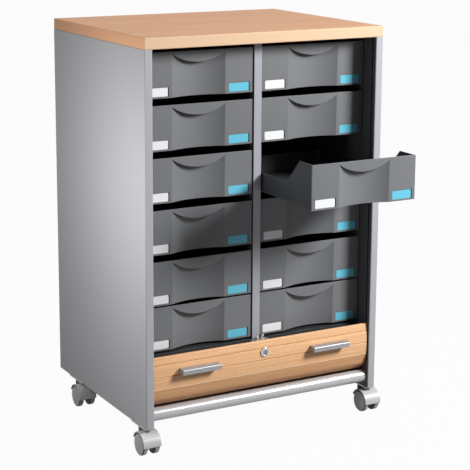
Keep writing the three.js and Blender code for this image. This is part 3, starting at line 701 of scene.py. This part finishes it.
# Lock: a polished nickel barrel with a flange, and a plug with its keyhole. The claws, the cam,
# the nut, the case and the strike under the top board are pressed steel, zinc plated.
chrome_finish = plain_finish(
    "polished_nickel", (0.80, 0.77, 0.72, 1), (0.95, 0.93, 0.9, 1), wear=0.3, radius=0.0004, roughness=0.18,
    spread=0.08, grain=2000.0, relief=0.05, distance=0.0001, metallic=1.0)
plug_finish = plain_finish(
    "brushed_plug", (0.42, 0.48, 0.56, 1), (0.8, 0.8, 0.8, 1), wear=0.3, radius=0.0004, roughness=0.3,
    spread=0.1, grain=2600.0, relief=0.1, distance=0.0001, metallic=0.8)
zinc_finish = plain_finish(
    "zinc_plate", (0.68, 0.68, 0.67, 1), (0.85, 0.85, 0.83, 1), wear=0.5, radius=0.0005, roughness=0.35,
    spread=0.2, grain=900.0, relief=0.1, distance=0.0001, metallic=0.6)
housing_low, housing_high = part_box("lock_housing")
lock_height = (housing_low.z + housing_high.z) / 2
lock_centre = (0, lock_height)
flange_radius = (housing_high.z - housing_low.z) / 2
flange_back = housing_low.y + 0.005
flange_round = 0.0016
barrel_radius = 0.009
barrel_bore = 0.0063
barrel_front = housing_low.y + 0.0025
ring = bar("nickel_ring", "y", lock_centre, flange_radius, housing_low.y, flange_back, sides=64)
eased(ring, flange_round, 4, angle=60)
barrel = bar("barrel", "y", lock_centre, barrel_radius, barrel_front, housing_high.y, sides=64)
combined(ring, barrel, "UNION")
bore = bar("bore", "y", lock_centre, barrel_bore, housing_low.y - past, housing_high.y + past, sides=64)
combined(ring, bore, "DIFFERENCE")
fitted(smoothed(ring), "shutter", "chrome", chrome_finish, "lock_housing")

plug_low, plug_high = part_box("lock_plug")
plug_radius = 0.006
plug_round = 0.0006
tail_radius = 0.0035
key_half = 0.001
key_reach = 0.004
key_depth = 0.004
plug = bar("keyed_plug", "y", lock_centre, plug_radius, plug_low.y, housing_high.y, sides=64)
eased(plug, plug_round, 3, angle=60)
tail = bar("tail", "y", lock_centre, tail_radius, plug_low.y + key_depth * 2, plug_high.y, sides=32)
combined(plug, tail, "UNION")
key = block("key", (-key_half, plug_low.y - past, lock_height - key_reach),
            (key_half, plug_low.y + key_depth, lock_height + key_reach))
combined(plug, key, "DIFFERENCE")
plug.data.materials.append(plug_finish)
plug.data.materials.append(black_finish)
# Painted shade: the keyhole's walls and floor take the black plastic finish
for face in plug.data.polygons:
    place = face.center
    in_shaded_slot = abs(place.x) < key_half + hair and abs(place.z - lock_height) < key_reach + hair
    sunk = hair < place.y - plug_low.y < key_depth + hair
    face.material_index = 1 if in_shaded_slot and sunk else 0
fitted(smoothed(plug), "lock_barrel", "chrome", None, "lock_plug")
for name in ("lock_nut", "lock_cam", "lock_case", "lock_claw_left", "lock_claw_right", "shutter_strike"):
    finish_node(name, zinc_finish)

# Foot tube: a round steel tube with a glossy silver lacquer. It runs between the side boards under
# the shutter, and black plugs close its ends.
tube_finish = plain_finish(
    "silver_lacquer", (0.57, 0.57, 0.58, 1), (0.8, 0.8, 0.8, 1), wear=0.3, radius=0.001, roughness=0.26,
    spread=0.08, grain=1200.0, relief=0.05, distance=0.0001, metallic=0.3, coat=0.3)
tube_wall = 0.0015
tube_low, tube_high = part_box("foot_tube")
tube_radius = (tube_high.z - tube_low.z) / 2
tube_centre = ((tube_low.y + tube_high.y) / 2, (tube_low.z + tube_high.z) / 2)
tube = bar("foot_rail", "x", tube_centre, tube_radius, tube_low.x, tube_high.x)
bore = bar("bore", "x", tube_centre, tube_radius - tube_wall, tube_low.x - past, tube_high.x + past)
combined(tube, bore, "DIFFERENCE")
fitted(smoothed(tube), "cabinet", "tube_metal", tube_finish, "foot_tube")

# Casters: a light grey moulded hood over two domed wheels, on a zinc plated plate and stem. The
# wheels run on a pin through the hood's web, which is black. The wheels' inner sides and the
# shoulders round their rims are painted black, as painted shade between the wheels and round the rims.
caster_grey = (0.52, 0.525, 0.535, 1)
caster_skin = {"wear": 0.4, "radius": 0.0006, "spread": 0.12, "grain": 1200.0, "relief": 0.15,
               "distance": 0.0002}
hood_finish = plain_finish("caster_grey", caster_grey, (0.78, 0.78, 0.79, 1), roughness=0.32, **caster_skin)
wheel_finish = plain_finish("wheel_grey", caster_grey, (0.72, 0.72, 0.73, 1), roughness=0.24, **caster_skin)
wheel_radius = 0.025
wheel_width = 0.012
wheel_gap = 0.017
wheel_round = 0.003
shoulder_width = 0.0022
shoulder_above = 0.15
shoulder_below = 0.97
outer_above = 0.999
inner_below = -0.5
dome_steps = ((0.004, 0.00066), (0.004, 0.00053), (0.005, 0.00048), (0.005, 0.00027))
hood_inner = 0.026
hood_outer = 0.0292
hood_round = 0.0012
hood_ease = 0.0005
rim_stand = 0.001
hood_half = wheel_gap / 2 + wheel_width + rim_stand
axle = (-0.025, wheel_radius)
hood_front = math.radians(-3)
hood_rear = math.radians(158)
web_half = 0.0045
hub_radius = 0.007
pin_radius = 0.003
pin_half = hood_half - rim_stand - 0.0035
pin_room = pin_radius + 0.0003
pin_room_end = wheel_width - 0.003
boss_radius = 0.008
boss_low = 0.0447
boss_high = 0.0565
neck_low = boss_low - 0.006
neck_high = boss_high - 0.001
stem_room = 0.0043
stem_floor = boss_low + 0.0015


def cut_at_rear(piece):
    return trimmed(piece, (0, *axle), (0, math.sin(hood_rear), math.cos(hood_rear)))


def within_hood(piece):
    """Keeps what lies between the hood's front and rear ends, round its axle."""
    trimmed(piece, (0, *axle), (0, -math.sin(hood_front), -math.cos(hood_front)))
    return cut_at_rear(piece)


hood = eased(bar("hood", "x", axle, hood_outer, -hood_half, hood_half, sides=72), hood_round, 5, angle=60)
room = bar("room", "x", axle, hood_inner, -hood_half - past, hood_half + past, sides=72)
combined(hood, room, "DIFFERENCE")
within_hood(hood)
eased(hood, hood_ease, 2, angle=60)
web = within_hood(bar("web", "x", axle, (hood_inner + hood_outer) / 2, -web_half, web_half, sides=72))
combined(web, bar("hub", "x", axle, hub_radius, -web_half, web_half, sides=48), "UNION")
boss = bar("boss", "z", (0, 0), boss_radius, boss_low, boss_high, sides=48)
neck = cut_at_rear(block("neck", (-web_half, -boss_radius * 2, neck_low), (web_half, 0, neck_high)))
combined(boss, neck, "UNION")
combined(web, boss, "UNION")
combined(web, bar("stem_room", "z", (0, 0), stem_room, stem_floor, boss_high + past, sides=32), "DIFFERENCE")
combined(web, bar("pin", "x", axle, pin_radius, -pin_half, pin_half, sides=32), "UNION")
hood.data.materials.append(hood_finish)
web.data.materials.append(black_finish)
alone(hood, web)
bpy.ops.object.join()
smoothed(hood)

wheel = eased(bar("wheel", "x", (0, 0), wheel_radius, 0, wheel_width, sides=72), wheel_round, 5, angle=60)
for elements in (wheel.data.vertices, wheel.data.edges):
    elements.foreach_set("select", [False] * len(elements))
for face in wheel.data.polygons:
    face.select = face.normal.x > outer_above
bpy.ops.object.mode_set(mode="EDIT")
bpy.ops.mesh.select_mode(type="FACE")
for step, rise in dome_steps:
    bpy.ops.mesh.inset(thickness=step, depth=rise)
bpy.ops.mesh.select_all(action="DESELECT")
bpy.ops.object.mode_set(mode="OBJECT")
wheel.data.materials.append(wheel_finish)
wheel.data.materials.append(black_finish)
# Painted shade: the wheels' inner sides and rim shoulders take the black finish
for face in wheel.data.polygons:
    shaded_inner_side = face.normal.x < inner_below
    at_rim = face.center.yz.length > wheel_radius - shoulder_width
    shaded_shoulder = at_rim and shoulder_above < face.normal.x < shoulder_below
    face.material_index = 1 if shaded_inner_side or shaded_shoulder else 0
combined(wheel, bar("way", "x", (0, 0), pin_room, -past, pin_room_end, sides=32), "DIFFERENCE")
smoothed(wheel)

for name in [name for name in nodes if name.startswith("caster_plate")]:
    finish_node(name, zinc_finish)
    low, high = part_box(name)
    stem = ((low.x + high.x) / 2, (low.y + high.y) / 2)
    place = name.removeprefix("caster_plate_")
    made = placed_copy(hood, "moulded_hood_" + place, *stem, 0)
    fitted(made, "caster_" + place, "caster_grey", None, "caster_hood_" + place)
    for hand, side, turn in (("left", -1, math.pi), ("right", 1, 0)):
        hub = (stem[0] + side * wheel_gap / 2, stem[1] + axle[0], axle[1])
        made = placed_copy(wheel, f"moulded_wheel_{place}_{hand}", *hub, turn)
        fitted(made, f"wheel_{place}_{hand}", "wheel_grey", None, f"wheel_{place}_{hand}")
for part in (hood, wheel):
    bpy.data.objects.remove(part)

# Studio: a pale floor that runs out of sight and shows white but for the cart's shadow, a white
# surround, and soft lamps in front on the right, beside the left board and overhead
floor_size = 80
floor_grey = (0.26, 0.26, 0.26, 1)
floor_glow = 0.97
white = (1, 1, 1, 1)
mirror_level = 0.5
ambient_level = 0.07
floor_finish = bpy.data.materials.new("studio_floor")
floor_finish.use_nodes = True
tree = floor_finish.node_tree
tree.nodes.clear()
seen = node(tree, "ShaderNodeLightPath").outputs
plain = math_node(tree, "MAXIMUM", seen["Is Camera Ray"], product(tree, seen["Is Glossy Ray"], mirror_level))
matte = node(tree, "ShaderNodeBsdfDiffuse", {"Color": floor_grey}).outputs[0]
glow = node(tree, "ShaderNodeEmission", {"Color": white, "Strength": 1.0}).outputs[0]
both = node(tree, "ShaderNodeMixShader", {0: product(tree, plain, floor_glow), 1: matte, 2: glow}).outputs[0]
node(tree, "ShaderNodeOutputMaterial", {0: both})
bpy.ops.object.select_all(action="DESELECT")
bpy.ops.mesh.primitive_plane_add(size=floor_size, location=(0, 0, 0))
floor = bpy.context.object
floor.name = "studio_floor"
floor.data.materials.append(floor_finish)

world = bpy.data.worlds.new("studio")
bpy.context.scene.world = world
world.use_nodes = True
tree = world.node_tree
tree.nodes.clear()
seen = node(tree, "ShaderNodeLightPath").outputs
plain = math_node(tree, "MAXIMUM", seen["Is Camera Ray"], seen["Is Transmission Ray"])
level = math_node(tree, "MAXIMUM", plain, product(tree, seen["Is Glossy Ray"], mirror_level))
level = math_node(tree, "MAXIMUM", level, ambient_level)
sky = node(tree, "ShaderNodeBackground", {"Color": white, "Strength": level}).outputs[0]
node(tree, "ShaderNodeOutputWorld", {0: sky})


def lamp(name, place, target, size, power):
    """A square lamp that looks from a place at a target."""
    light = bpy.data.lights.new(name, "AREA")
    light.shape = "RECTANGLE"
    light.size = size
    light.size_y = size
    light.energy = power
    made = bpy.data.objects.new(name, light)
    bpy.context.scene.collection.objects.link(made)
    made.location = place
    made.rotation_euler = (Vector(target) - Vector(place)).to_track_quat("-Z", "Y").to_euler()
    made.visible_camera = False


lamp("key", place=(1.55, -1.7, 1.75), target=(-0.3, 0, 0.8), size=0.7, power=92.0)
lamp("side", place=(-0.77, -0.16, 0.61), target=(-0.3, -0.12, 0.60), size=0.3, power=2.7)
lamp("overhead", place=(0.0, 0.3, 3.0), target=(0, 0, 0.9), size=2.0, power=29.0)

# Camera: a little above the cart and to the left of its front, with a long lens. Its place and
# turn were fitted to the cart's outline.
camera_place = (-1.6232, -2.9080, 1.2462)
yaw = math.radians(29.28)
pitch = math.radians(11.91)
roll = math.radians(0.35)
camera_data = bpy.data.cameras.new("camera")
camera_data.sensor_width = 36.0
camera_data.lens = 113.05
camera_data.shift_y = -0.1
camera = bpy.data.objects.new("camera", camera_data)
bpy.context.scene.collection.objects.link(camera)
tilt = Matrix.Rotation(math.pi / 2 - pitch, 4, "X")
turn = Matrix.Rotation(-yaw, 4, "Z") @ tilt @ Matrix.Rotation(roll, 4, "Z")
camera.matrix_world = Matrix.Translation(camera_place) @ turn
bpy.context.scene.camera = camera
bpy.context.scene.view_settings.view_transform = "Standard"
